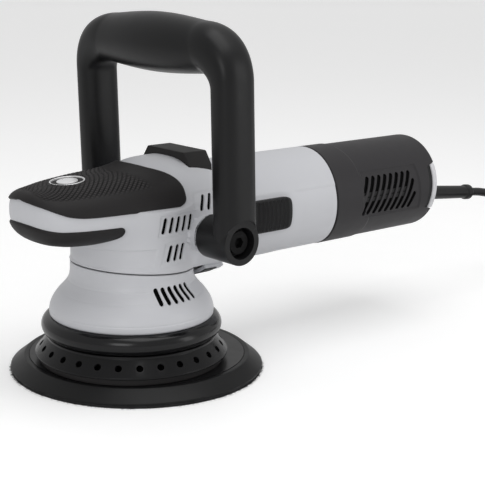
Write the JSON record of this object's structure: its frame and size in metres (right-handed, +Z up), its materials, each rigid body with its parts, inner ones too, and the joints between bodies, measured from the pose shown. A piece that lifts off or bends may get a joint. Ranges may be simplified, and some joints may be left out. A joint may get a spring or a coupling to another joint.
{
  "type": "dual action polisher",
  "caption": "Mains powered random orbit polisher with a palm nose, a D handle, a hook-faced backing plate and a coiled lead.",
  "frame": {"origin": "where the main spindle's axis meets the underside of the backing plate", "axes": "+X along the motor shaft from the palm nose to the cord, +Z up along the main spindle"},
  "size_m": [0.555, 0.2025, 0.2095],
  "materials": {
    "housing_grey": "fine satin moulded plastic",
    "cover_charcoal": "matte moulded plastic",
    "handle_black": "satin soft-touch moulding",
    "grip_rubber": "soft matte rubber with a fine grip pattern",
    "bumper_rubber": "glossy moulded rubber",
    "ring_black": "glossy moulded plastic",
    "badge_silver": "brushed and plain",
    "cap_silver": "satin moulded plastic",
    "cast_aluminium": "die cast",
    "steel": "ground steel",
    "gear_steel": "hardened steel",
    "screw_steel": "zinc plated",
    "black_screws": "black oxide",
    "laminations": "varnished laminated steel",
    "copper": "enamelled copper",
    "brass": "drawn brass",
    "carbon": "carbon",
    "inner_black": "moulded nylon",
    "board_green": "circuit board",
    "plate_core": "satin moulded plastic",
    "plate_foam": "skinned polyurethane foam",
    "hook_fabric": "hook tape",
    "cord_black": "smooth cable sheath",
    "plug_black": "moulded plug",
    "pin_nickel": "nickel plated"
  },
  "bodies": {
    "housing": {"head_housing": "housing_grey", "head_skirt": "housing_grey", "bumper_ring": "bumper_rubber", "exhaust_ring": "ring_black", "drag_skirt": "grip_rubber", "nose_grip": "grip_rubber", "nose_badge": "badge_silver", "nose_strip": "grip_rubber", "rest_pad": "grip_rubber", "motor_housing": "housing_grey", "rear_cover": "cover_charcoal", "rear_cap": "cap_silver", "gear_case": "cast_aluminium", "bearing_plate": "cast_aluminium", "case_screws": "screw_steel", "ring_screws": "screw_steel", "motor_screws": "screw_steel", "cover_screws": "black_screws", "front_bearing": "steel", "rear_bearing": "steel", "spindle_top_bearing": "steel", "spindle_low_bearing": "steel", "field_core": "laminations", "field_coils": "copper", "brush_holders": "brass", "carbon_brushes": "carbon", "switch_body": "inner_black", "control_board": "board_green", "strain_relief": "cord_black", "cord_clamp": "inner_black", "handle_bolts": "black_screws", "friction_washers": "steel", "cord_lead": "cord_black", "cord_coil": "cord_black", "cord_tail": "cord_black", "plug_body": "plug_black", "plug_pins": "pin_nickel"},
    "handle": {"d_handle": "handle_black"},
    "switch": {"switch_slider": "inner_black", "switch_rod": "inner_black"},
    "dial": {"speed_dial": "inner_black"},
    "armature": {"armature_shaft": "steel", "armature_core": "laminations", "armature_windings": "copper", "commutator": "copper", "cooling_fan": "inner_black", "drive_pinion": "gear_steel"},
    "carrier": {"main_spindle": "steel", "ring_gear": "gear_steel", "counterweight": "gear_steel", "pad_bearing": "steel"},
    "plate": {"pad_spindle": "steel", "backing_plate": "plate_core", "plate_foam": "plate_foam", "hook_face": "hook_fabric", "centre_bolt": "screw_steel"}
  },
  "joints": [
    {"name": "handle_tilt", "type": "hinge", "parent": "housing", "child": "handle", "pos_m": [0.0246, 0, 0.0866], "axis": [0, 1, 0], "range_deg": [-50, 50]},
    {"name": "switch_slide", "type": "slide", "parent": "housing", "child": "switch", "axis": [-1, 0, 0], "range_m": [0, 0.007]},
    {"name": "dial_turn", "type": "hinge", "parent": "housing", "child": "dial", "pos_m": [0.216, 0.024, 0.089], "axis": [0, 0, 1], "range_deg": [0, 270]},
    {"name": "armature_spin", "type": "hinge", "parent": "housing", "child": "armature", "pos_m": [0.1, 0, 0.089], "axis": [1, 0, 0], "continuous": true},
    {"name": "carrier_spin", "type": "hinge", "parent": "housing", "child": "carrier", "pos_m": [0, 0, 0.05], "axis": [0, 0, 1], "continuous": true},
    {"name": "plate_spin", "type": "hinge", "parent": "carrier", "child": "plate", "pos_m": [0.0086, 0.00602, 0.02], "axis": [0, 0, 1], "continuous": true}
  ],
  "couplings": [
    {"joint": "armature_spin", "follows": "carrier_spin", "ratio": 3}
  ]
}
